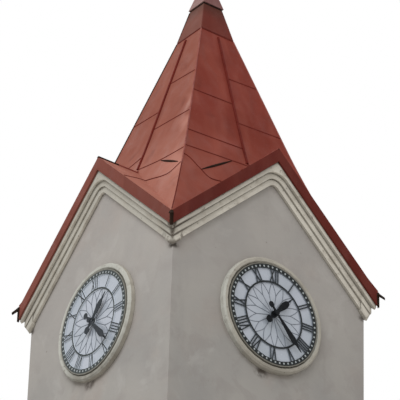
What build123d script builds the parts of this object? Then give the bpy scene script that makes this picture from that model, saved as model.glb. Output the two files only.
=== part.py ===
from build123d import *
import math
import os

# Clock tower: a square stuccoed shaft, a gable and a clock on every side, and a bell-cast spire.
# Millimetres, +Z up, origin on the ground under the middle of the tower, front face towards -Y.

# Shaft
tower_width = 4000
wall_thickness = 500

# Roof edges, heights above the ground
eaves_height = 12517
gable_rise = 2010
roof_overhang = 178
roof_thickness = 70
fascia_thickness = 30
fascia_depth = 250

# Raking cornice, three stepped bands under the fascia
cornice_first_depth = 97
cornice_band_depth = 135
cornice_mid_projection = 92
cornice_low_projection = 60
cornice_round = 118
kneeler_length = 118
kneeler_projection = 76
kneeler_drop = 32
corner_splay_drop = 40

# Spire, half widths of its square section and the rise of each stage above the one below
spire_thickness = 70
flare_foot_lift = 25
flare_rise = 2858
flare_top_half = 1057
main_rise = 2355
spire_lap_half = 352
lap_lip = 8
top_rise = 680
spire_top_half = 199
cap_lip = 26
cap_rise = 780
cap_tip_half = 8

# Corner drips, thin tongues of sheet that throw water clear of the corners
drip_reach = 108
drip_fall = 95
drip_thickness = 40
drip_width = 58

# Clocks, the dial's centre under the eaves
dial_drop = 1117
ring_sides = 32
disc_sides = 20
frame_radius = 916
frame_rim_width = 30
frame_thickness = 20
minute_ring_width = 92
hour_ring_radius = 600
hour_ring_width = 30
glass_standoff = 80
glass_thickness = 12
glass_clearance = 1
glass_sides = 24
surround_width = 103
surround_projection = 106
surround_clearance = 4
surround_bevel = 28
bevel_angle = 45

# Roman numerals, bars between the two rings
numeral_bar = 18
numeral_pitch = 47
numeral_wide = 100
numeral_sink = 14

# Hub and hands
hub_plate_radius = 62
arbor_radius = 16
arbor_clearance = 0.3
arbor_end_clearance = 2
hand_thickness = 10
hour_hand_gap = 32
minute_hand_gap = 30
hour_hub_radius = 54
hour_length = 545
hour_half_width = 62
hour_tail = 176
hour_tail_radius = 64
minute_hub_radius = 46
minute_boss_height = 16
minute_length = 765
minute_half_width = 58
minute_tail = 166
minute_tail_radius = 52
hour_angle = 42
minute_angle = 137

# One overrun serves all cuts
overrun = 60

# Half outlines of the hands: share of the length, share of the half width
hour_shares = [
    (0.10, 0.42), (0.20, 0.50), (0.36, 0.78), (0.50, 1.0), (0.60, 0.94), (0.69, 0.66), (0.745, 0.25), (0.95, 0.13)
]
minute_shares = [(0.06, 0.34), (0.12, 0.32), (0.66, 1.0), (0.71, 0.96), (0.81, 0.34), (0.95, 0.16)]
tail_neck_share = 0.42

# Worked out from the values above
half = tower_width / 2
edge = half + roof_overhang
pitch = gable_rise / edge
ridge_height = eaves_height + gable_rise
dial_height = eaves_height - dial_drop
foot_height = eaves_height + flare_foot_lift
flare_top_height = foot_height + flare_rise
spire_lap_height = flare_top_height + main_rise
spire_top_height = spire_lap_height + top_rise
apex_height = spire_top_height + cap_rise
frame_back = glass_standoff + glass_thickness
frame_front = frame_back + frame_thickness
minute_ring_inner = frame_radius - minute_ring_width
hour_ring_inner = hour_ring_radius - hour_ring_width
hour_back = frame_front + hour_hand_gap
hour_front = hour_back + hand_thickness
minute_back = hour_front + minute_hand_gap
minute_front = minute_back + hand_thickness
sides = {"front": 0, "left": -90, "back": 180, "right": 90}

os.makedirs("parts", exist_ok=True)


def face_plane(offset):
    return Plane(origin=(0, -half - offset, 0), x_dir=(1, 0, 0), z_dir=(0, -1, 0))


def dial_plane(offset):
    return Plane(origin=(0, -half - offset, dial_height), x_dir=(1, 0, 0), z_dir=(0, -1, 0))


def outline(points):
    return make_face(Polyline(*points, close=True))


def ring(radius, bore):
    # Dial rings are made up of short straight runs
    return RegularPolygon(radius, ring_sides) - RegularPolygon(bore, ring_sides)


def disc(radius):
    return RegularPolygon(radius, disc_sides)


def front_wedge(reach):
    # The quarter of the plan that belongs to the front side, cut along the diagonals
    base = outline([(0, 0), (-reach, -reach), (reach, -reach)])
    return Pos(0, 0, -overrun) * extrude(base, apex_height + 2 * overrun)


def slope_height(x, drop):
    return ridge_height - pitch * abs(x) - drop


def chevron(reach, top_drop, low_drop, rounding=0):
    # A band that follows both slopes of a gable, between two drops under the roof's top
    face = outline([
        (-reach, slope_height(reach, top_drop)),
        (0, slope_height(0, top_drop)),
        (reach, slope_height(reach, top_drop)),
        (reach, slope_height(reach, low_drop)),
        (0, slope_height(0, low_drop)),
        (-reach, slope_height(reach, low_drop)),
    ])
    if rounding > 0:
        crown = face.vertices().filter_by(lambda v: abs(v.X) < arbor_clearance).sort_by(Axis.Y)[0]
        face = fillet(crown, rounding)
    return face


def on_side(shape, angle):
    return Rot(0, 0, angle) * shape


def write(name, shape):
    shape.label = name
    export_step(shape, f"parts/{name}.step")


wedge = front_wedge(edge + overrun)

# Wall: a gabled slab, mitred at the corners
wall_outline = outline([
    (-half, 0),
    (half, 0),
    (half, slope_height(half, roof_thickness)),
    (0, slope_height(0, roof_thickness)),
    (-half, slope_height(half, roof_thickness)),
])
wall = extrude(face_plane(0) * wall_outline, -wall_thickness) & wedge

# Raking cornice: three bands, each stepping back towards the wall
band_drops = [fascia_depth + cornice_first_depth + cornice_band_depth * k for k in range(3)]
top_projection = roof_overhang - fascia_thickness
band_step = cornice_band_depth / math.hypot(1, pitch)
upper_band = chevron(edge, roof_thickness, band_drops[0], cornice_round + 2 * band_step)
middle_band = chevron(edge, roof_thickness, band_drops[1], cornice_round + band_step)
lower_band = chevron(edge, roof_thickness, band_drops[2], cornice_round)
cornice = extrude(face_plane(0) * upper_band, top_projection)
cornice += extrude(face_plane(0) * middle_band, cornice_mid_projection)
cornice += extrude(face_plane(0) * lower_band, cornice_low_projection)
for way in (-1, 1):
    # A thicker block ends the lowest band at each corner
    kneeler_start = half - kneeler_length
    kneeler = outline([
        (way * edge, slope_height(edge, band_drops[1])),
        (way * kneeler_start, slope_height(kneeler_start, band_drops[1])),
        (way * kneeler_start, slope_height(kneeler_start, band_drops[2] + kneeler_drop)),
        (way * edge, slope_height(edge, band_drops[2] + kneeler_drop)),
    ])
    cornice += extrude(face_plane(0) * kneeler, kneeler_projection, dir=(0, -1, 0))
cornice = cornice & wedge

# The corner ends of the bands are splayed back to the wall on the diagonal
diagonal = math.sqrt(2)
splay_reach = diagonal * (edge + overrun)
splay_top = slope_height(half + top_projection, fascia_depth + corner_splay_drop)
splay_low = slope_height(half, band_drops[2] + kneeler_drop + corner_splay_drop)
splay_foot = slope_height(edge, band_drops[2] + kneeler_drop) - overrun
splay_outline = outline([
    (diagonal * half, splay_low),
    (diagonal * (half + top_projection), splay_top),
    (splay_reach, splay_top),
    (splay_reach, splay_foot),
    (diagonal * half, splay_foot),
])
splay = extrude(Plane.XZ * splay_outline, edge, both=True)
cornice = cornice - Rot(0, 0, -45) * splay - Rot(0, 0, -135) * splay

# Fascia: a folded sheet along both slopes
fascia_band = chevron(edge, 0, fascia_depth)
fascia = extrude(face_plane(top_projection) * fascia_band, fascia_thickness) & wedge

# Side profile of the spire: a bell-cast foot, one arc that runs into the main slope
main_run = flare_top_half - spire_lap_half


def spire_profile(inset):
    # The outer line of the spire moved inwards, from its foot to the lap
    foot = (-edge + inset, foot_height)
    bend = (-flare_top_half + inset, flare_top_height)
    lap = (-spire_lap_half + inset, spire_lap_height)
    curve = TangentArc(bend, foot, tangent=(-main_run, -main_rise))
    return curve, Line(bend, lap)


cut_foot = eaves_height - fascia_depth
outer_curve, outer_straight = spire_profile(0)
inner_curve, inner_straight = spire_profile(spire_thickness)
skin_foot = Polyline(
    outer_curve @ 1,
    (-edge, cut_foot),
    (-edge + spire_thickness, cut_foot),
    inner_curve @ 1,
)
skin_top = Line(outer_straight @ 1, inner_straight @ 1)
skin = make_face([outer_curve, outer_straight, skin_top, inner_straight, inner_curve, skin_foot])
core_edge = Polyline(
    inner_straight @ 1,
    (0, spire_lap_height),
    (0, cut_foot),
    (-edge + spire_thickness, cut_foot),
    inner_curve @ 1,
)
core = make_face([inner_curve, inner_straight, core_edge])

# Everything below the top of the front gable's roof
gable_fill = outline([
    (-edge - overrun, slope_height(edge + overrun, 0)),
    (0, slope_height(0, 0)),
    (edge + overrun, slope_height(edge + overrun, 0)),
    (edge + overrun, 0),
    (-edge - overrun, 0),
])
gable_prism = extrude(face_plane(roof_overhang + overrun) * gable_fill, -(edge + overrun))

# Spire face: the skin between two hips, notched over the gable's roof
spire_face = extrude(Plane.YZ * skin, edge, both=True) & wedge
spire_face = spire_face - gable_prism

# Gable roof: both slopes, with a level ridge that dies into the spire
roof_band = chevron(edge, 0, roof_thickness)
gable_roof = extrude(face_plane(top_projection) * roof_band, -(edge - fascia_thickness)) & wedge
gable_roof = gable_roof - extrude(Plane.YZ * core, edge, both=True)


def square_at(height, half_width):
    return Plane.XY.offset(height) * Rectangle(2 * half_width, 2 * half_width)


def taper_angle(low_half, top_half, rise):
    return math.degrees(math.atan((low_half - top_half) / rise))


# The steeper top section and the cap that overhangs it
top_foot_half = spire_lap_half + lap_lip
cap_foot_half = spire_top_half + cap_lip
spire_top = extrude(
    square_at(spire_lap_height, top_foot_half), top_rise, taper=taper_angle(top_foot_half, spire_top_half, top_rise)
)
spire_cap = extrude(
    square_at(spire_top_height, cap_foot_half), cap_rise, taper=taper_angle(cap_foot_half, cap_tip_half, cap_rise)
)

# Corner drips: tongues on the diagonals, notched over the corner of the fasciae
drip_root = math.hypot(edge, edge)
drip_outline = outline([
    (-drip_root + overrun, eaves_height),
    (-drip_root, eaves_height),
    (-drip_root - drip_reach, eaves_height - drip_fall),
    (-drip_root - drip_reach, eaves_height - drip_fall - drip_thickness / 2),
    (-drip_root, eaves_height - drip_thickness),
    (-drip_root + overrun, eaves_height - drip_thickness),
])
drip = extrude(Plane.XZ * drip_outline, drip_width / 2, both=True)
drip = Rot(0, 0, 45) * drip
corner_block = Pos(0, 0, eaves_height - fascia_depth) * Box(
    2 * edge, 2 * edge, 2 * fascia_depth, align=(Align.CENTER, Align.CENTER, Align.MIN)
)
drip = drip - corner_block
corner_drips = Compound([on_side(drip, angle) for angle in sides.values()])

# Clock surround: a raised stucco ring, bevelled on both edges
surround_bore = frame_radius + surround_clearance
surround_radius = surround_bore + surround_width
surround_ring = ring(surround_radius, surround_bore)
surround_rise = surround_projection - surround_bevel
surround = extrude(dial_plane(0) * surround_ring, surround_rise)
surround += extrude(dial_plane(surround_rise) * surround_ring, surround_bevel, taper=bevel_angle)

# Opal dial glass, seated against the back of the frame
rim_bore = (frame_radius - frame_rim_width) * math.cos(math.pi / ring_sides)
glass_radius = rim_bore - glass_clearance
dial_glass = extrude(dial_plane(glass_standoff) * RegularPolygon(glass_radius, glass_sides), glass_thickness)


def bar(foot, head, width):
    # A straight bar between two points
    along = (Vector(*head) - Vector(*foot)).normalized()
    side = Vector(-along.Y, along.X) * (width / 2)
    start = Vector(*foot)
    end = Vector(*head)
    corners = [start + side, end + side, end - side, start - side]
    return outline([(c.X, c.Y) for c in corners])


numerals = ["I", "II", "III", "IIII", "V", "VI", "VII", "VIII", "IX", "X", "XI", "XII"]
numeral_foot = hour_ring_radius - numeral_sink
numeral_head = minute_ring_inner + numeral_sink


def letter_width(letter):
    return numeral_pitch if letter == "I" else numeral_wide


def numeral_bars(word):
    # The strokes of one numeral, upright above the dial's centre
    strokes = []
    left = -sum(letter_width(letter) for letter in word) / 2
    for letter in word:
        width = letter_width(letter)
        middle = left + width / 2
        spread = (width - numeral_bar) / 2
        if letter == "I":
            strokes.append(bar((middle, numeral_foot), (middle, numeral_head), numeral_bar))
        if letter == "V":
            strokes.append(bar((middle, numeral_foot), (middle - spread, numeral_head), numeral_bar))
            strokes.append(bar((middle, numeral_foot), (middle + spread, numeral_head), numeral_bar))
        if letter == "X":
            strokes.append(bar((middle - spread, numeral_foot), (middle + spread, numeral_head), numeral_bar))
            strokes.append(bar((middle + spread, numeral_foot), (middle - spread, numeral_head), numeral_bar))
        left = left + width
    return strokes


strokes = []
for hour, word in enumerate(numerals, 1):
    strokes += [Rot(0, 0, -30 * hour) * stroke for stroke in numeral_bars(word)]

# Dial frame: deep rim, minute ring, hour ring, numerals, hub plate and arbor
lattice = ring(frame_radius, minute_ring_inner)
lattice += ring(hour_ring_radius, hour_ring_inner)
lattice += strokes
rim = ring(frame_radius, frame_radius - frame_rim_width)
dial_frame = extrude(dial_plane(frame_back) * lattice, frame_thickness)
dial_frame += extrude(dial_plane(0) * rim, frame_front)
hub = extrude(dial_plane(frame_back) * disc(hub_plate_radius), frame_thickness)
hub += extrude(dial_plane(frame_back) * Circle(arbor_radius), minute_front - frame_back)
dial_frame = Compound([dial_frame, hub])


def hand_outline(shares, length, half_width, tail, tail_radius, hub_radius):
    # A hand that points straight up, with its hub and its round counterpoise
    right_side = [(w * half_width, s * length) for s, w in shares]
    left_side = [(-x, y) for x, y in reversed(right_side)]
    neck = shares[0][1] * half_width
    blade = outline([(neck, 0)] + right_side + [(0, length)] + left_side + [(-neck, 0)])
    tail_neck = bar((0, 0), (0, -tail), 2 * tail_neck_share * tail_radius)
    return blade + tail_neck + Pos(0, -tail) * disc(tail_radius) + disc(hub_radius)


bore = Circle(arbor_radius + arbor_clearance)
hour_blade = hand_outline(hour_shares, hour_length, hour_half_width, hour_tail, hour_tail_radius, hour_hub_radius)
minute_blade = hand_outline(
    minute_shares, minute_length, minute_half_width, minute_tail, minute_tail_radius, minute_hub_radius
)
hour_hand = extrude(dial_plane(hour_back) * (Rot(0, 0, -hour_angle) * hour_blade - bore), hand_thickness)
minute_hand = extrude(dial_plane(minute_back) * (Rot(0, 0, -minute_angle) * minute_blade), hand_thickness)
boss = Rot(0, 0, -minute_angle) * disc(minute_hub_radius)
minute_hand += extrude(dial_plane(minute_back) * boss, hand_thickness + minute_boss_height)
minute_hand -= extrude(dial_plane(minute_back) * bore, hand_thickness + arbor_end_clearance)

for side, angle in sides.items():
    write(f"{side}_wall", on_side(wall, angle))
    write(f"{side}_cornice", on_side(cornice, angle))
    write(f"{side}_fascia", on_side(fascia, angle))
    write(f"{side}_gable_roof", on_side(gable_roof, angle))
    write(f"{side}_spire_face", on_side(spire_face, angle))
    write(f"{side}_surround", on_side(surround, angle))
    write(f"{side}_dial_glass", on_side(dial_glass, angle))
    write(f"{side}_dial_frame", on_side(dial_frame, angle))
    write(f"{side}_hour_hand", on_side(hour_hand, angle))
    write(f"{side}_minute_hand", on_side(minute_hand, angle))
write("spire_top", spire_top)
write("spire_cap", spire_cap)
write("corner_drips", corner_drips)
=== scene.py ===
import bpy
import bmesh
import math
from mathutils import Matrix, Vector


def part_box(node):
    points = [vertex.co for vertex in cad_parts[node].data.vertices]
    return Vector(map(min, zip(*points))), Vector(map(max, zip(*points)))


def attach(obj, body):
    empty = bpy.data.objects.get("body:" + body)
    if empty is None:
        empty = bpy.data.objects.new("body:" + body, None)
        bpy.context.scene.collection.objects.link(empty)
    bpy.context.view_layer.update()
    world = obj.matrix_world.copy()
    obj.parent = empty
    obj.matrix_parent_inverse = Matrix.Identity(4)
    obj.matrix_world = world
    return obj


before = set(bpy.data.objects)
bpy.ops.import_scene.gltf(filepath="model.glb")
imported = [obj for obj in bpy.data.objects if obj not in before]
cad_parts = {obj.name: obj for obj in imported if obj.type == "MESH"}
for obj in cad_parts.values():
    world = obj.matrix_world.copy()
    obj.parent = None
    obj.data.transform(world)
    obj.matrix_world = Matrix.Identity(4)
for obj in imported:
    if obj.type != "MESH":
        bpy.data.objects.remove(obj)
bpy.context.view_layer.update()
scene = bpy.context.scene
scene.view_settings.view_transform = "Standard"

# Sizes in metres, read from the CAD nodes. The dial's rings stand 20 mm in front of the glass
fascia_low, fascia_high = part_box("front_fascia")
glass_low, glass_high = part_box("front_dial_glass")
WALL = -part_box("front_wall")[0].y
EDGE = -fascia_low.y
RIDGE = fascia_high.z
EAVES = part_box("front_spire_face")[0].z
PITCH = (RIDGE - EAVES) / EDGE
FASCIA_DEPTH = EAVES - fascia_low.z
SURROUND_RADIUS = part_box("front_surround")[1].x
DIAL = (glass_low.z + glass_high.z) / 2
GLASS_FACE = -glass_low.y
FRAME_FACE = GLASS_FACE + 0.020

# The spire's profile: its foot, which is as wide as the fascia, the bend above it, the lap and the top
FOOT_HEIGHT = EAVES + 0.025
BEND_HEIGHT = FOOT_HEIGHT + 2.858
BEND_OUT = 1.057
LAP_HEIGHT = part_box("spire_top")[0].z
LAP_OUT = 0.352
TOP_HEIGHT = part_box("spire_cap")[0].z
TOP_OUT = 0.199

# Places on the cornice: its two grooves below the roof line, the corner blocks' inner end and their foot
GROOVES = (0.352, 0.488)
BLOCK_END = WALL - 0.14
BLOCK_FOOT = EAVES - 0.477

# Joints in the fascia's sheets: place across, and how much darker the sheet beyond is
FASCIA_JOINTS = ((0.79, 0.25), (1.54, 0.1))

# Radii on a dial: the numerals from inside to outside, the minute marks, the edge of the rim
NUMERALS = (0.612, 0.802)
MARK_RADIUS = 0.855
RIM = 0.890

# Turn of each side about the tower's axis, in degrees, and the side whose hip and outer ridge folds are drawn
# dark in painted shade
SIDES = {"front": 0, "left": -90, "back": 180, "right": 90}
SHADED_FOLD_SIDE = "left"

# Camera, fitted to the photograph: metres, radians and millimetres
CAMERA_PLACE = Vector((-26.648, -36.004, -11.621))
AZIMUTH = math.radians(36.501)
RISE = math.radians(30.25)
ROLL = math.radians(1.766)
LENS = 270
SENSOR = 36
FARTHEST = 500

# Light: strength of the sky as it lights and as it is seen, and the lamp
SKY_LIGHT = 0.62
SKY_SEEN = 1.0
LAMP_STRENGTH = 1.5
LAMP_SPREAD = math.radians(50)
LAMP_TINT = (0.97, 1.0, 1.04)
LAMP_AIM = Vector((0.72, 0.34, -0.60))


def make_camera():
    look = Vector((math.cos(RISE) * math.sin(AZIMUTH), math.cos(RISE) * math.cos(AZIMUTH), math.sin(RISE)))
    level = Vector((math.cos(AZIMUTH), -math.sin(AZIMUTH), 0))
    upright = level.cross(look)
    right = level * math.cos(ROLL) + upright * math.sin(ROLL)
    above = upright * math.cos(ROLL) - level * math.sin(ROLL)
    data = bpy.data.cameras.new("camera")
    data.sensor_width = SENSOR
    data.lens = LENS
    data.clip_end = FARTHEST
    camera = bpy.data.objects.new("camera", data)
    scene.collection.objects.link(camera)
    turn = Matrix((right, above, -look)).transposed()
    camera.matrix_world = Matrix.Translation(CAMERA_PLACE) @ turn.to_4x4()
    scene.camera = camera


def make_sky():
    # A white sky that is brighter where it is seen or mirrored than as a light
    world = bpy.data.worlds.new("studio")
    scene.world = world
    world.use_nodes = True
    tree = world.node_tree
    rays = tree.nodes.new("ShaderNodeLightPath").outputs
    seen = rays["Is Camera Ray"]
    for kind in ("Is Glossy Ray", "Is Transmission Ray"):
        either = tree.nodes.new("ShaderNodeMath")
        either.operation = "MAXIMUM"
        tree.links.new(seen, either.inputs[0])
        tree.links.new(rays[kind], either.inputs[1])
        seen = either.outputs[0]
    strength = tree.nodes.new("ShaderNodeMapRange")
    strength.inputs["To Min"].default_value = SKY_LIGHT
    strength.inputs["To Max"].default_value = SKY_SEEN
    tree.links.new(seen, strength.inputs["Value"])
    sky = tree.nodes["Background"].inputs
    sky["Color"].default_value = (1, 1, 1, 1)
    tree.links.new(strength.outputs["Result"], sky["Strength"])


def make_lamp():
    # One broad, soft lamp from the left
    lamp = bpy.data.lights.new("key", "SUN")
    lamp.energy = LAMP_STRENGTH
    lamp.angle = LAMP_SPREAD
    lamp.color = LAMP_TINT
    key = bpy.data.objects.new("key", lamp)
    key.rotation_euler = LAMP_AIM.to_track_quat("-Z", "Y").to_euler()
    scene.collection.objects.link(key)


def rgb(red, green, blue):
    # A screen colour as the linear value that a shader takes
    def linear(value):
        share = value / 255
        return share / 12.92 if share <= 0.04045 else ((share + 0.055) / 1.055) ** 2.4
    return (linear(red), linear(green), linear(blue), 1)


class Paint:
    # Builds one node material. Most methods give an output socket, to use as a value in the next

    def __init__(self, name, roughness, shine):
        self.material = bpy.data.materials.new(name)
        self.material.use_nodes = True
        self.tree = self.material.node_tree
        self.shader = self.tree.nodes["Principled BSDF"].inputs
        self.shader["Roughness"].default_value = roughness
        self.shader["Specular IOR Level"].default_value = shine
        self.place = self.tree.nodes.new("ShaderNodeTexCoord").outputs["Object"]
        self.facing = self.tree.nodes.new("ShaderNodeNewGeometry").outputs["True Normal"]

    def put(self, value, socket):
        if isinstance(value, bpy.types.NodeSocket):
            self.tree.links.new(value, socket)
        else:
            socket.default_value = value

    def compute(self, kind, *values):
        node = self.tree.nodes.new("ShaderNodeMath")
        node.operation = kind
        for value, socket in zip(values, node.inputs):
            self.put(value, socket)
        return node.outputs[0]

    def plus(self, a, b):
        return self.compute("ADD", a, b)

    def minus(self, a, b):
        return self.compute("SUBTRACT", a, b)

    def times(self, first, *others):
        for other in others:
            first = self.compute("MULTIPLY", first, other)
        return first

    def most(self, first, *others):
        for other in others:
            first = self.compute("MAXIMUM", first, other)
        return first

    def least(self, a, b):
        return self.compute("MINIMUM", a, b)

    def size(self, value):
        return self.compute("ABSOLUTE", value)

    def sloped(self, value, start, slope):
        # The start, plus the value times the slope
        return self.compute("MULTIPLY_ADD", value, slope, start)

    def vector(self, kind, *values):
        node = self.tree.nodes.new("ShaderNodeVectorMath")
        node.operation = kind
        for value, socket in zip(values, node.inputs):
            self.put(value, socket)
        return node.outputs["Value" if kind in ("DOT_PRODUCT", "LENGTH") else "Vector"]

    def moved(self, *shift):
        # The place, moved, for a pattern unlike the others of the same scale
        return self.vector("ADD", self.place, shift)

    def scaled(self, *shares):
        return self.vector("MULTIPLY", self.place, shares)

    def split(self, value):
        node = self.tree.nodes.new("ShaderNodeSeparateXYZ")
        self.put(value, node.inputs[0])
        return node.outputs

    def join(self, x, y, z=0.0):
        node = self.tree.nodes.new("ShaderNodeCombineXYZ")
        for value, socket in zip((x, y, z), node.inputs):
            self.put(value, socket)
        return node.outputs[0]

    def distance(self, right, up):
        return self.vector("LENGTH", self.join(right, up))

    def across(self):
        # Distance along the wall, to the right as seen from outside
        return self.vector("DOT_PRODUCT", self.place, self.vector("CROSS_PRODUCT", (0, 0, 1), self.facing))

    def noise(self, scale, detail, where=None, rough=0.55, twist=0.0):
        node = self.tree.nodes.new("ShaderNodeTexNoise")
        self.put(where or self.place, node.inputs["Vector"])
        node.inputs["Scale"].default_value = scale
        node.inputs["Detail"].default_value = detail
        node.inputs["Roughness"].default_value = rough
        node.inputs["Distortion"].default_value = twist
        return node.outputs[0]

    def cells(self, scale):
        node = self.tree.nodes.new("ShaderNodeTexVoronoi")
        self.put(self.place, node.inputs["Vector"])
        node.inputs["Scale"].default_value = scale
        return node.outputs["Distance"]

    def creases(self, reach):
        # High in the inner corners: painted shade there, and dirt that gathers there
        node = self.tree.nodes.new("ShaderNodeAmbientOcclusion")
        node.inputs["Distance"].default_value = reach
        node.samples = 8
        return self.minus(1.0, node.outputs["AO"])

    def span(self, value, low, high, to_low=0.0, to_high=1.0):
        # A smooth step from to_low to to_high, as the value goes from low to high
        node = self.tree.nodes.new("ShaderNodeMapRange")
        node.interpolation_type = "SMOOTHSTEP"
        names = ("Value", "From Min", "From Max", "To Min", "To Max")
        for name, setting in zip(names, (value, low, high, to_low, to_high)):
            self.put(setting, node.inputs[name])
        return node.outputs["Result"]

    def mix(self, amount, under, over):
        node = self.tree.nodes.new("ShaderNodeMix")
        node.data_type = "RGBA"
        self.put(amount, node.inputs["Factor"])
        for colour, socket in zip((under, over), [s for s in node.inputs if s.type == "RGBA"]):
            self.put(colour, socket)
        return next(s for s in node.outputs if s.type == "RGBA")

    def cover(self, base, colour, *amounts):
        # The base, covered by a colour as far as the product of the amounts says
        return self.mix(self.times(*amounts), base, colour)

    def bump(self, height, strength, distance, onto=None):
        node = self.tree.nodes.new("ShaderNodeBump")
        node.inputs["Strength"].default_value = strength
        node.inputs["Distance"].default_value = distance
        self.put(height, node.inputs["Height"])
        if onto is not None:
            self.put(onto, node.inputs["Normal"])
        return node.outputs[0]

    def colour(self, value):
        self.put(value, self.shader["Base Color"])

    def rough(self, value):
        self.put(value, self.shader["Roughness"])

    def normal(self, value):
        self.put(value, self.shader["Normal"])


def stucco():
    p = Paint("stucco", 0.9, 0.2)
    x, y, z = p.split(p.place)
    across = p.across()
    rise = p.minus(z, DIAL)
    # Patches in other tones, streaks and fine spots
    base = p.mix(p.span(p.noise(0.55, 4, twist=0.4), 0.35, 0.68), rgb(166, 161, 154), rgb(154, 150, 145))
    warm = p.noise(0.9, 3, p.moved(7, 3, 1))
    base = p.cover(base, rgb(163, 150, 141), p.span(warm, 0.5, 0.72), 0.45)
    dark = p.noise(2.1, 5, p.moved(2, 8, 5), 0.6, 0.5)
    base = p.cover(base, rgb(148, 141, 136), p.span(dark, 0.52, 0.66), 0.4)
    pale = p.noise(1.7, 5, p.moved(9, 1, 6), 0.6, 0.5)
    base = p.cover(base, rgb(178, 174, 168), p.span(pale, 0.54, 0.68), 0.4)
    streaks = p.noise(1.6, 4, p.scaled(2.4, 2.4, 0.3))
    base = p.cover(base, rgb(134, 129, 123), p.span(streaks, 0.58, 0.8), 0.2)
    base = p.cover(base, rgb(176, 171, 163), p.span(p.noise(7, 4), 0.55, 0.8), 0.25)
    # Darker in a ragged ring round the lower part of the dial's surround, and a dark blot under it
    halo = p.span(p.distance(across, rise), SURROUND_RADIUS + 0.087, SURROUND_RADIUS + 0.022)
    ragged = p.span(p.noise(3.5, 3), 0.3, 0.65)
    base = p.cover(base, rgb(112, 103, 92), halo, p.span(rise, 0.3, -0.9), ragged, 0.4)
    spot = p.distance(p.times(p.plus(across, 0.16), 5.0), p.times(p.plus(rise, 1.06), 7.0))
    ragged = p.span(p.noise(9, 4), 0.3, 0.6)
    base = p.cover(base, rgb(62, 52, 44), p.span(spot, 1.0, 0.2), ragged, 0.85)
    # Painted light: paler under the gable, to cancel the shade under the cornice; darker down the shaft
    base = p.mix(p.span(rise, -1.0, 1.0, 0.0, 0.3), base, rgb(184, 176, 169))
    base = p.mix(p.span(rise, -1.0, -2.8, 0.0, 0.3), base, rgb(146, 142, 137))
    # A dark spot at the foot of the corner blocks: painted shade under them, with dirt
    along = p.least(p.size(x), p.size(y))
    spot = p.distance(p.times(p.minus(WALL, along), 7.0), p.times(p.minus(z, BLOCK_FOOT), 14.0))
    ragged = p.span(p.noise(14, 4), 0.25, 0.55)
    base = p.cover(base, rgb(50, 40, 31), p.span(spot, 1.1, 0.3), ragged, 0.85)
    # Darker away from the near corner
    base = p.mix(p.span(p.plus(x, y), -1.4, 0.6, 0.0, 0.3), base, rgb(146, 141, 135))
    base = p.cover(base, rgb(98, 90, 82), p.span(p.cells(2.3), 0.06, 0.02), 0.45)
    p.colour(base)
    p.rough(p.span(p.noise(5, 3), 0.3, 0.7, 0.82, 0.96))
    coarse = p.bump(p.noise(4.5, 4), 0.35, 0.02)
    p.normal(p.bump(p.noise(70, 3, rough=0.7), 0.3, 0.004, coarse))
    return p.material


def corner_dirt_and_shade(p, x, y, z, west):
    # Dirt on the cornice's corners: down the arris, in the grooves and at the corner blocks' ends; under the
    # blocks, painted shade with dirt
    along = p.least(p.size(x), p.size(y))
    wander = p.plus(along, p.span(p.noise(8, 4), 0.2, 0.8, -0.07, 0.07))
    drop = p.minus(p.minus(RIDGE, p.times(along, PITCH)), z)
    ragged = p.span(p.span(p.noise(13, 4), 0.3, 0.6), 0.0, 1.0, 0.45, 1.0)
    arris = p.times(p.span(along, WALL + 0.01, WALL + 0.08), ragged)
    to_groove = p.least(*[p.size(p.minus(drop, groove)) for groove in GROOVES])
    groove = p.times(p.span(to_groove, 0.036, 0.010), p.span(wander, WALL - 0.45, WALL - 0.05), 0.8)
    to_end = p.size(p.minus(wander, BLOCK_END))
    end = p.times(p.span(to_end, 0.075, 0.0), p.span(drop, 0.40, 0.60), p.sloped(west, 0.8, -0.4))
    # Painted shade, with dirt, along the corner blocks' lower edge and at their tip
    soffit = p.times(p.span(drop, 0.585, 0.635), p.span(wander, BLOCK_END, WALL - 0.03))
    tip = p.times(p.span(z, BLOCK_FOOT + 0.07, BLOCK_FOOT), p.span(along, WALL - 0.07, WALL - 0.02))
    return p.most(arris, groove, end, p.times(p.most(soffit, tip), 0.85))


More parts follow.
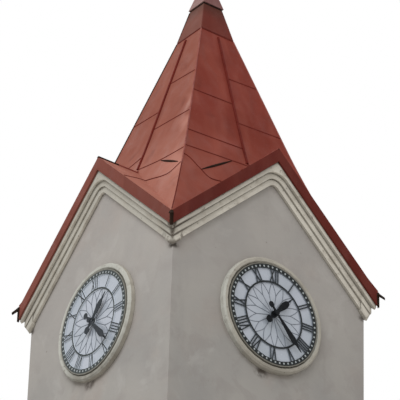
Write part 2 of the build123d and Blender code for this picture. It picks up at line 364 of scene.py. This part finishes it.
def cream(name, pale, dull, blotch, west_light_tint, west_light_share, reach):
    # Painted stucco. Its west side is tinted by a painted light, as far as the west light share says, and
    # painted shade with dirt has a reach from the inner corners
    p = Paint(name, 0.85, 0.2)
    x, y, z = p.split(p.place)
    base = p.mix(p.span(p.noise(1.7, 4), 0.35, 0.68), pale, dull)
    # Painted light: the west side is tinted for the light that falls on it, greyer on the cornice and paler
    # on the surrounds
    west = p.span(p.vector("DOT_PRODUCT", p.facing, (-1, 0, 0)), 0.3, 0.8)
    base = p.cover(base, west_light_tint, west, west_light_share)
    base = p.cover(base, blotch, p.span(p.noise(5.5, 4), 0.5, 0.7), 0.5)
    # Painted shade with dirt in the inner corners, and dirt on the tower's corners, most on the near one,
    # with painted shade under the corner blocks
    patchy = p.span(p.noise(6, 3), 0.2, 0.6, 0.6, 1.0)
    dirt_and_shade = p.span(p.creases(reach), 0.22, 0.55)
    base = p.cover(base, rgb(66, 58, 48), dirt_and_shade, patchy, p.sloped(west, 0.92, -0.4))
    near = p.span(p.plus(x, y), -1.0, -2.5, 0.25, 0.9)
    base = p.cover(base, rgb(64, 51, 39), corner_dirt_and_shade(p, x, y, z, west), near)
    # The feet of the dial surrounds are darker: painted shade, with dirt
    foot = p.span(p.minus(z, DIAL), -0.35, -1.0)
    patchy = p.span(p.noise(4, 4), 0.25, 0.65, 0.4, 1.0)
    base = p.cover(base, rgb(104, 97, 86), foot, patchy, p.sloped(west, 0.4, 0.3))
    chips = p.span(p.noise(11, 5, twist=0.6), 0.64, 0.71)
    base = p.cover(base, rgb(114, 104, 92), chips, 0.6)
    base = p.cover(base, rgb(82, 77, 66), p.span(p.cells(5.0), 0.10, 0.03), 0.55)
    p.colour(base)
    p.rough(p.span(p.noise(6, 3), 0.3, 0.7, 0.75, 0.95))
    coarse = p.bump(p.minus(p.noise(9, 4), p.times(chips, 0.5)), 0.5, 0.012)
    p.normal(p.bump(p.noise(80, 3, rough=0.7), 0.25, 0.003, coarse))
    return p.material


def red_sheet(name, bright, dull, sheen_and_wear, dirt_and_shade, sheen_colour=None, sheen_share=0.5, low=0.0, sheets=0.0):
    # Painted sheet metal. The shares say how far the painted sheen on the sunny side, the painted light on
    # the low foot and the fascia's sheets count
    roughness = 0.55
    p = Paint(name, roughness, 0.06)
    x, y, z = p.split(p.place)
    across = p.across()
    above_bend = p.minus(z, BEND_HEIGHT)
    stretched = p.join(p.times(across, 2.6), p.times(z, 0.75), p.times(p.plus(x, y), 0.4))
    swell = p.noise(1.3, 2, stretched, 0.4, 0.5)
    base = p.mix(p.span(p.noise(0.8, 4), 0.3, 0.7), bright, dull)
    # Paler where the sheet swells: a painted sheen on the waves of the bump below
    base = p.cover(base, sheen_and_wear, p.span(swell, 0.45, 0.7), 0.2)
    # Painted light: a painted sheen on the sunny side, and paler over the bell-cast foot, which faces the sky
    sunny = p.span(p.minus(p.times(x, -1.0), p.size(y)), -0.03, 0.03)
    foot = p.span(above_bend, 0.2, -1.5, 0.0, low)
    base = p.cover(base, sheen_and_wear, foot, 0.85)
    base = p.cover(base, sheen_colour or sheen_and_wear, sunny, sheen_share)
    base = p.cover(base, rgb(184, 124, 107), sunny, foot, 0.85)
    # Sheets of the fascia differ in tone, darker towards the corner
    tones = [p.span(across, joint - 0.01, joint + 0.01, 0.0, darker) for joint, darker in FASCIA_JOINTS]
    base = p.cover(base, rgb(84, 42, 34), sunny, p.plus(*tones), sheets)
    # Darker under the cap: painted shade, with dirt run from the joint
    shade_and_run_off = p.span(z, TOP_HEIGHT - 0.385, TOP_HEIGHT - 0.015)
    base = p.cover(base, rgb(66, 50, 42), shade_and_run_off, p.compute("LESS_THAN", z, TOP_HEIGHT), 0.5)
    # Painted highlights beside the hip, where the sheets are dented
    beside = p.span(p.compute("DIVIDE", y, p.least(x, -0.05)), 0.45, 0.95)
    reach = p.times(p.span(above_bend, -2.0, -1.2), p.span(above_bend, 1.2, 0.0))
    dent_highlights = p.span(p.noise(1.5, 2, p.moved(3, 9, 4), 0.4, 0.6), 0.42, 0.62)
    base = p.cover(base, rgb(190, 132, 116), sunny, beside, reach, dent_highlights, low)
    # Dirt in patches, painted shade with dirt in the inner corners, and fine worn spots
    base = p.cover(base, dirt_and_shade, p.span(p.noise(2.6, 5, twist=0.5), 0.56, 0.76), 0.3)
    fine = p.noise(22, 4, rough=0.65)
    base = p.cover(base, sheen_and_wear, p.span(fine, 0.58, 0.75), 0.25)
    base = p.cover(base, dirt_and_shade, p.span(p.creases(0.06), 0.4, 0.9), 0.5)
    p.colour(base)
    p.rough(p.span(p.noise(3.1, 4), 0.3, 0.7, roughness - 0.08, roughness + 0.16))
    hollows = p.bump(p.noise(1.5, 1, p.scaled(1.3, 1.3, 0.8), 0.3, 0.4), 0.8, 0.14)
    waves = p.bump(swell, 0.25, 0.05, hollows)
    p.normal(p.bump(fine, 0.12, 0.003, waves))
    return p.material


def opal():
    p = Paint("opal_glass", 0.16, 0.6)
    base = p.mix(p.span(p.noise(1.4, 3), 0.35, 0.65), rgb(180, 185, 194), rgb(168, 175, 183))
    base = p.cover(base, rgb(150, 156, 158), p.span(p.noise(7, 5), 0.55, 0.75), 0.3)
    p.colour(base)
    p.rough(p.span(p.noise(4, 4), 0.3, 0.7, 0.12, 0.3))
    p.normal(p.bump(p.noise(5, 2), 0.08, 0.01))
    return p.material


def iron(name, dark, bloom, pale, roughness, shine, rim_wear_and_side_light=0.0):
    # Painted iron. The wear share bares its rim and paints the sides of its bars pale, a painted light that
    # cancels their shade
    p = Paint(name, roughness, shine)
    x, y, z = p.split(p.place)
    base = p.mix(p.span(p.noise(6, 4), 0.4, 0.7), dark, bloom)
    # One on the left and right sides, none on the front and back
    end = p.span(p.minus(p.size(x), p.size(y)), -0.01, 0.01)
    rest = p.minus(1.0, end)
    across = p.plus(p.times(y, end), p.times(x, rest))
    reach = p.distance(across, p.minus(z, DIAL))
    # Painted reflection: a pale sky sheen on the left dial, least on the numerals
    sky_sheen = p.times(end, p.span(x, 1.0, -1.0))
    inside, outside = NUMERALS
    numeral = p.times(p.span(reach, inside, inside + 0.01), p.span(reach, outside, outside - 0.01))
    base = p.cover(base, pale, sky_sheen, p.sloped(numeral, 0.8, -0.6))
    # The rim's outer edge has lost its paint
    base = p.cover(base, rgb(166, 160, 146), p.span(reach, RIM, RIM + 0.008), rim_wear_and_side_light * 0.5)
    # Painted light: the sides of the bars are pale, to cancel their shade, palest on the left dial
    facing = p.split(p.facing)
    face = p.plus(p.times(p.size(facing["X"]), end), p.times(p.size(facing["Y"]), rest))
    lit_sides = p.mix(sky_sheen, rgb(118, 123, 130), rgb(226, 231, 236))
    base = p.cover(base, lit_sides, p.span(face, 0.7, 0.3), p.span(reach, RIM - 0.01, RIM - 0.03), rim_wear_and_side_light)
    base = p.cover(base, rgb(66, 72, 64), p.span(p.noise(38, 4), 0.58, 0.74), 0.3)
    p.colour(base)
    p.rough(p.span(p.noise(14, 3), 0.3, 0.7, roughness - 0.08, roughness + 0.15))
    p.normal(p.bump(p.noise(90, 3), 0.2, 0.002))
    return p.material


def plain_sheet(name, main, second, spots, roughness, shine):
    p = Paint(name, roughness, shine)
    base = p.mix(p.span(p.noise(2.4, 4), 0.35, 0.68), main, second)
    base = p.cover(base, spots, p.span(p.noise(15, 5), 0.54, 0.72), 0.5)
    p.colour(base)
    p.rough(p.span(p.noise(7, 3), 0.3, 0.7, roughness - 0.1, roughness + 0.15))
    p.normal(p.bump(p.noise(12, 4), 0.2, 0.006))
    return p.material


def pale_floor():
    p = Paint("floor", 0.9, 0.2)
    p.colour(p.mix(p.span(p.noise(0.4, 3), 0.3, 0.7), rgb(232, 231, 229), rgb(226, 225, 223)))
    p.normal(p.bump(p.noise(30, 3), 0.1, 0.003))
    return p.material


STUCCO = stucco()
CREAM = cream(
    "cream_stucco", rgb(215, 208, 194), rgb(198, 191, 178), rgb(172, 163, 148),
    west_light_tint=rgb(132, 130, 121), west_light_share=0.45, reach=0.075,
)
SURROUND = cream(
    "surround_stucco", rgb(181, 175, 162), rgb(169, 163, 151), rgb(155, 149, 137),
    west_light_tint=rgb(190, 190, 181), west_light_share=0.75, reach=0.02,
)
ROOF = red_sheet(
    "red_sheet", rgb(127, 56, 45), rgb(119, 51, 40), rgb(156, 90, 75), rgb(96, 42, 34),
    sheen_colour=rgb(156, 102, 85), low=0.6,
)
TOP_RED = red_sheet(
    "dark_red_sheet", rgb(108, 48, 39), rgb(98, 43, 35), rgb(128, 76, 66), rgb(66, 34, 29),
    sheen_colour=rgb(138, 98, 86),
)
FASCIA = red_sheet(
    "red_fascia", rgb(99, 41, 34), rgb(90, 36, 30), rgb(130, 72, 61), rgb(66, 28, 24),
    sheen_colour=rgb(146, 92, 79), sheets=1.0,
)
CAP = red_sheet(
    "cap_sheet", rgb(128, 88, 85), rgb(119, 81, 78), rgb(152, 120, 114), rgb(98, 67, 63),
    sheen_share=0.85,
)
SEAM = plain_sheet("red_seam", rgb(106, 37, 29), rgb(96, 33, 26), rgb(78, 29, 23), 0.7, 0.08)
# A paler copy of the red for the folds: a painted highlight
LIT_FOLD = plain_sheet("lit_red_fold", rgb(138, 68, 56), rgb(122, 56, 46), rgb(158, 98, 84), 0.55, 0.25)
DARK = plain_sheet("dark_sheet", rgb(44, 30, 22), rgb(34, 24, 19), rgb(62, 44, 33), 0.8, 0.05)
MARK = plain_sheet("minute_mark", rgb(172, 177, 177), rgb(160, 166, 166), rgb(136, 143, 141), 0.5, 0.25)
GLAZE = plain_sheet("glazing_bar", rgb(122, 126, 134), rgb(108, 113, 120), rgb(94, 99, 105), 0.6, 0.1)
OPAL = opal()
DIAL_IRON = iron("dial_iron", rgb(24, 29, 30), rgb(18, 22, 23), rgb(60, 66, 66), 0.5, 0.2, rim_wear_and_side_light=0.9)
HAND_IRON = iron("hand_iron", rgb(16, 19, 23), rgb(12, 14, 17), rgb(60, 64, 68), 0.6, 0.12)

# Finish of each CAD node, by its name or by what follows the side in its name
FINISH = {
    "wall": STUCCO, "cornice": CREAM, "surround": SURROUND,
    "fascia": FASCIA, "gable_roof": ROOF, "spire_face": ROOF,
    "spire_top": TOP_RED, "spire_cap": CAP, "corner_drips": DARK,
    "dial_glass": OPAL, "dial_frame": DIAL_IRON, "hour_hand": HAND_IRON, "minute_hand": HAND_IRON,
}


def paint_nodes():
    for name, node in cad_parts.items():
        kind = name if name in FINISH else name.split("_", 1)[1]
        for slot in node.material_slots:
            slot.material = FINISH[kind]


# The bell-cast foot is an arc from the foot to the bend, where it meets the main slope smoothly
slope_run = Vector((BEND_OUT - LAP_OUT, LAP_HEIGHT - BEND_HEIGHT)).normalized()
outward = Vector((slope_run.y, slope_run.x))
chord = Vector((EDGE - BEND_OUT, FOOT_HEIGHT - BEND_HEIGHT))
ARC_RADIUS = chord.length_squared / (2 * chord.dot(outward))
ARC_OUT, ARC_HEIGHT = Vector((BEND_OUT, BEND_HEIGHT)) + outward * ARC_RADIUS


def spire_out(z):
    # Half width of the spire at a height
    if z < BEND_HEIGHT:
        return ARC_OUT - math.sqrt(ARC_RADIUS ** 2 - (z - ARC_HEIGHT) ** 2)
    if z < LAP_HEIGHT:
        return BEND_OUT + (LAP_OUT - BEND_OUT) * (z - BEND_HEIGHT) / (LAP_HEIGHT - BEND_HEIGHT)
    return LAP_OUT + (TOP_OUT - LAP_OUT) * (z - LAP_HEIGHT) / (TOP_HEIGHT - LAP_HEIGHT)


def turned(side, place):
    # A point or direction of the front side, taken round to another side
    return Matrix.Rotation(math.radians(SIDES[side]), 3, "Z") @ Vector(place)


# Surfaces that carry strips. Each gives a station: a point on the surface and the normal there

def on_spire(side, across, rise):
    # On a spire face, by the height above the ridge
    z = RIDGE + rise
    step = 0.01
    slope = (spire_out(z + step) - spire_out(z - step)) / (2 * step)
    normal = Vector((0, -1, -slope)).normalized()
    return turned(side, (across, -spire_out(z), z)), turned(side, normal)


def on_hip(side, z):
    # On the hip to the left of a side
    out = spire_out(z)
    return turned(side, (-out, -out, z)), turned(side, Vector((-1, -1, 0.5)).normalized())


def on_cap_shadow(side, across, z):
    return turned(side, (across, -spire_out(z), z)), turned(side, Vector((0, -1, 0.2)).normalized())


def on_gable(side, across, out):
    way = 1 if across >= 0 else -1
    normal = Vector((way * PITCH, 0, 1)).normalized()
    return turned(side, (across, -out, RIDGE - PITCH * abs(across))), turned(side, normal)


def on_ridge(side, out):
    return turned(side, (0, -out, RIDGE)), Vector((0, 0, 1))


def on_fascia(side, across, drop):
    return turned(side, (across, -EDGE, RIDGE - PITCH * abs(across) - drop)), turned(side, (0, -1, 0))


def on_glass(side, radius, degrees):
    turn = math.radians(degrees)
    place = (radius * math.sin(turn), -GLASS_FACE, DIAL + radius * math.cos(turn))
    return turned(side, place), turned(side, (0, -1, 0))


def line(surface, side, start, end, count=16):
    # Stations between two places in the surface's own coordinates
    shares = [i / count for i in range(count + 1)]
    return [surface(side, *[a + (b - a) * share for a, b in zip(start, end)]) for share in shares]


def between(marks, t):
    # A place on the smooth curve from the second to the third of four marks
    return [
        0.5 * (2 * b + (c - a) * t + (2 * a - 5 * b + 4 * c - d) * t ** 2 + (3 * b - a - 3 * c + d) * t ** 3)
        for a, b, c, d in zip(*marks)
    ]


def curve(surface, side, marks, count=10):
    # Stations along a smooth line through the marks
    held = [marks[0], *marks, marks[-1]]
    places = [between(held[k:k + 4], i / count) for k in range(len(marks) - 1) for i in range(count)]
    return [surface(side, *place) for place in [*places, marks[-1]]]


def loft(bm, rings):
    # A closed skin over rings with equally many corners
    count = len(rings[0])
    for one, two in zip(rings, rings[1:]):
        for k in range(count):
            after = (k + 1) % count
            bm.faces.new((one[k], one[after], two[after], two[k]))
    bm.faces.new(rings[0][::-1])
    bm.faces.new(rings[-1])


def strip(bm, stations, width, height, sink=0.004, taper=0.0):
    # A raised fold along a line of stations, narrower towards its ends by the taper
    shoulder, crown = 0.55, 0.28
    left = [(-0.5, -sink), (-0.5, shoulder * height), (-crown, height)]
    profile = left + [(-across, up) for across, up in reversed(left)]
    last = len(stations) - 1
    rings = []
    for i, (point, normal) in enumerate(stations):
        ahead = stations[min(i + 1, last)][0] - stations[max(i - 1, 0)][0]
        sideways = ahead.cross(normal).normalized() * width * (1 - taper * (2 * i / last - 1) ** 2)
        rings.append([bm.verts.new(point + sideways * across + normal * up) for across, up in profile])
    loft(bm, rings)


def add(name, bm, material):
    # A mesh as an object of the scene
    mesh = bpy.data.meshes.new(name)
    bm.to_mesh(mesh)
    bm.free()
    mesh.materials.append(material)
    made = bpy.data.objects.new(name, mesh)
    scene.collection.objects.link(made)
    return made


def piece(name, bm, material):
    # A piece of trim, which rides on the tower
    bmesh.ops.recalc_face_normals(bm, faces=bm.faces)
    made = add(name, bm, material)
    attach(made, "tower")


# Strips of folded sheet: width, height and, where it isn't the usual one, how deep they sink in
SEAM_STRIP = (0.042, 0.026)
LAP_STRIP = (0.020, 0.007)
FOOT_LAP_STRIP = (0.020, 0.008)
TOP_LAP_STRIP = (0.022, 0.008)
OPEN_LAP_STRIP = (0.042, 0.012)
HEM_STRIP = (0.020, 0.008)
HIP_STRIP = (0.022, 0.010, 0.012)
HIP_FOOT_STRIP = (0.015, 0.010, 0.012)
HIP_TOP_STRIP = (0.020, 0.010, 0.012)
RIDGE_STRIP = (0.050, 0.012, 0.020)
CAP_SHADOW_STRIP = (0.034, 0.005)
STEM_STRIP = (0.012, 0.005, 0.001)
FORK_STRIP = (0.011, 0.005, 0.001)

# Lines of the seams and laps, chosen from the photograph, with heights from the ridge.
# The seam's place across each face, where it isn't in the middle
SEAM_AT = {"left": -0.05}
# Cross laps: way from the seam, height at the seam, height at the hip
CROSS_LAPS = ((-1, 1.51, 1.47), (-1, 0.45, 0.37), (1, 2.13, 2.18), (1, 1.07, 1.14))
LEFT_LAPS = ((-1, 1.45, 1.51), (-1, 0.42, 0.17), (1, 2.09, 2.01), (1, 1.02, 0.91))
# Marks on the spire: across, height
RIDGE_LAPS = (
    ((-1.36, -0.07), (-0.60, 0.0), (0.0, 0.05)),
    ((-0.04, 0.10), (0.66, -0.05), (1.37, -0.13)),
)
FOOT_LAPS = (
    ((-1.45, -0.32), (-1.33, -0.37), (-1.17, -0.54), (-1.00, -0.69), (-0.76, -0.66)),
    ((0.44, -0.41), (0.66, -0.48), (1.06, -0.62), (1.29, -0.65), (1.52, -0.55)),
)
OPEN_LAPS = (((-1.15, -0.56), (-0.35, 0.01)), ((0.71, -0.09), (1.40, -0.48)))
# Marks on the right half of a gable roof: across, out from the axis
GABLE_LAP = ((0.44, 1.49), (0.50, 1.68), (0.73, 2.13))


def standing_seam(side):
    # Down the spire face, from under the lap to the ridge
    bm = bmesh.new()
    seam = SEAM_AT.get(side, 0.0)
    strip(bm, line(on_spire, side, (seam, LAP_HEIGHT - RIDGE - 0.1), (seam, 0.1), 40), *SEAM_STRIP)
    piece(f"{side}_standing_seam", bm, SEAM)


def laps(side):
    bm = bmesh.new()
    # Cross laps between the sheets, staggered from one half to the other
    seam = SEAM_AT.get(side, 0.0)
    for way, at_seam, at_hip in LEFT_LAPS if side == "left" else CROSS_LAPS:
        hip = way * spire_out(RIDGE + at_hip)
        strip(bm, line(on_spire, side, (seam, at_seam), (hip, at_hip)), *LAP_STRIP)
    for marks in RIDGE_LAPS:
        strip(bm, curve(on_spire, side, marks), *LAP_STRIP)
    # The lap under the spire's top section
    z = LAP_HEIGHT - 0.02
    out = spire_out(z)
    strip(bm, line(on_spire, side, (-out, z - RIDGE), (out, z - RIDGE)), *TOP_LAP_STRIP)
    # Curved laps over the foot of the spire and the gable roof
    for marks in FOOT_LAPS:
        strip(bm, curve(on_spire, side, marks), *FOOT_LAP_STRIP)
    for way in (-1, 1):
        marks = [(way * across, out) for across, out in GABLE_LAP]
        strip(bm, curve(on_gable, side, marks), *FOOT_LAP_STRIP)
    # The laps take the dark seam colour: painted shade of each lap's step, with dirt
    piece(f"{side}_laps", bm, SEAM)


def open_lap_shadows(side):
    # Dark strips where a sheet has lifted: painted shadow in the gaps
    bm = bmesh.new()
    for start, end in OPEN_LAPS:
        strip(bm, line(on_spire, side, start, end, 30), *OPEN_LAP_STRIP, taper=0.85)
    piece(f"{side}_open_lap_shadows", bm, DARK)


def fascia_hem(side):
    # The folded hem along the fascia's lower edge
    bm = bmesh.new()
    drop = FASCIA_DEPTH - HEM_STRIP[0] / 2
    for way in (-1, 1):
        strip(bm, line(on_fascia, side, (0, drop), (way * EDGE, drop), 12), *HEM_STRIP)
    piece(f"{side}_fascia_hem", bm, FASCIA)


def minute_marks(side):
    # White bevelled marks on the minute ring
    bm = bmesh.new()
    half_width, half_height = 0.0145, 0.0155
    layers = ((0.0, -0.001), (0.0, 0.002), (0.003, 0.004))
    count = 60
    for k in range(count):
        turn = Matrix.Rotation(math.radians((k + 0.5) * 360 / count), 3, "Y")
        rings = []
        for inset, proud in layers:
            ring = []
            for right, up in ((-1, -1), (1, -1), (1, 1), (-1, 1)):
                x = right * (half_width - inset)
                z = MARK_RADIUS + up * (half_height - inset)
                corner = Vector((0, -FRAME_FACE - proud, DIAL)) + turn @ Vector((x, 0, z))
                ring.append(bm.verts.new(turned(side, corner)))
            rings.append(ring)
        loft(bm, rings)
    piece(f"{side}_minute_marks", bm, MARK)


def glazing_bars(side):
    # Forked bars on the glass, between the hub and the hour ring
    bm = bmesh.new()
    start, fork, end = 0.05, 0.36, 0.572
    count, first, spread = 16, 7.5, 10.6
    for k in range(count):
        turn = first + k * 360 / count
        strip(bm, line(on_glass, side, (start, turn), (fork, turn), 4), *STEM_STRIP)
        for way in (-1, 1):
            strip(bm, line(on_glass, side, (fork, turn), (end, turn + way * spread), 4), *FORK_STRIP)
    piece(f"{side}_glazing_bars", bm, GLAZE)


def roof_folds():
    # Folds along the hips and the ridges, pale with a painted highlight; on one side's hip and outer ridge
    # they are dark, in painted shade
    folds, feet, dark = bmesh.new(), bmesh.new(), bmesh.new()
    foot_end = BEND_HEIGHT - 1.45
    ridge_middle = EDGE - 0.42
    ridge_end = EDGE - 0.84
    for side in SIDES:
        outer = dark if side == SHADED_FOLD_SIDE else folds
        strip(feet, line(on_hip, side, [FOOT_HEIGHT + 0.02], [foot_end], 20), *HIP_FOOT_STRIP)
        strip(outer, line(on_hip, side, [foot_end], [LAP_HEIGHT - 0.02], 20), *HIP_STRIP)
        strip(outer, line(on_ridge, side, [EDGE], [ridge_middle], 4), *RIDGE_STRIP)
        strip(folds, line(on_ridge, side, [ridge_middle], [ridge_end], 4), *RIDGE_STRIP)
    top = line(on_hip, SHADED_FOLD_SIDE, [LAP_HEIGHT + 0.01], [TOP_HEIGHT - 0.04], 8)
    strip(dark, top, *HIP_TOP_STRIP)
    piece("hip_folds", folds, LIT_FOLD)
    piece("hip_feet", feet, SEAM)
    piece("shaded_hip_fold", dark, DARK)


def cap_shadow_strip():
    # A dark strip under the cap's lip: painted shadow
    bm = bmesh.new()
    z = TOP_HEIGHT - 0.016
    out = spire_out(z)
    for side in SIDES:
        strip(bm, line(on_cap_shadow, side, (-out, z), (out, z), 8), *CAP_SHADOW_STRIP)
    piece("cap_shadow_strip", bm, DARK)


def mitre_strips():
    # Dark strips at the fascia's mitres, with legs of uneven length
    bm = bmesh.new()
    out = EDGE + 0.010
    gap = EDGE - 0.002
    foot = -FASCIA_DEPTH - 0.012
    for side in SIDES:
        rings = []
        for rise, leg in ((0.012, 0.030), (-0.05, 0.048), (-0.14, 0.044), (-0.22, 0.046), (foot, 0.036)):
            tip = leg - out
            shape = ((tip, -gap), (tip, -out), (-out, -out), (-out, tip), (-gap, tip), (-gap, -gap))
            rings.append([bm.verts.new(turned(side, (x, y, EAVES + rise))) for x, y in shape])
        loft(bm, rings)
    piece("mitre_strips", bm, DARK)


def make_floor():
    bm = bmesh.new()
    bmesh.ops.create_circle(bm, cap_ends=True, segments=96, radius=14)
    add("floor", bm, pale_floor())


make_camera()
make_sky()
make_lamp()
paint_nodes()
for side in SIDES:
    standing_seam(side)
    laps(side)
    open_lap_shadows(side)
    fascia_hem(side)
    minute_marks(side)
    glazing_bars(side)
roof_folds()
cap_shadow_strip()
mitre_strips()
make_floor()
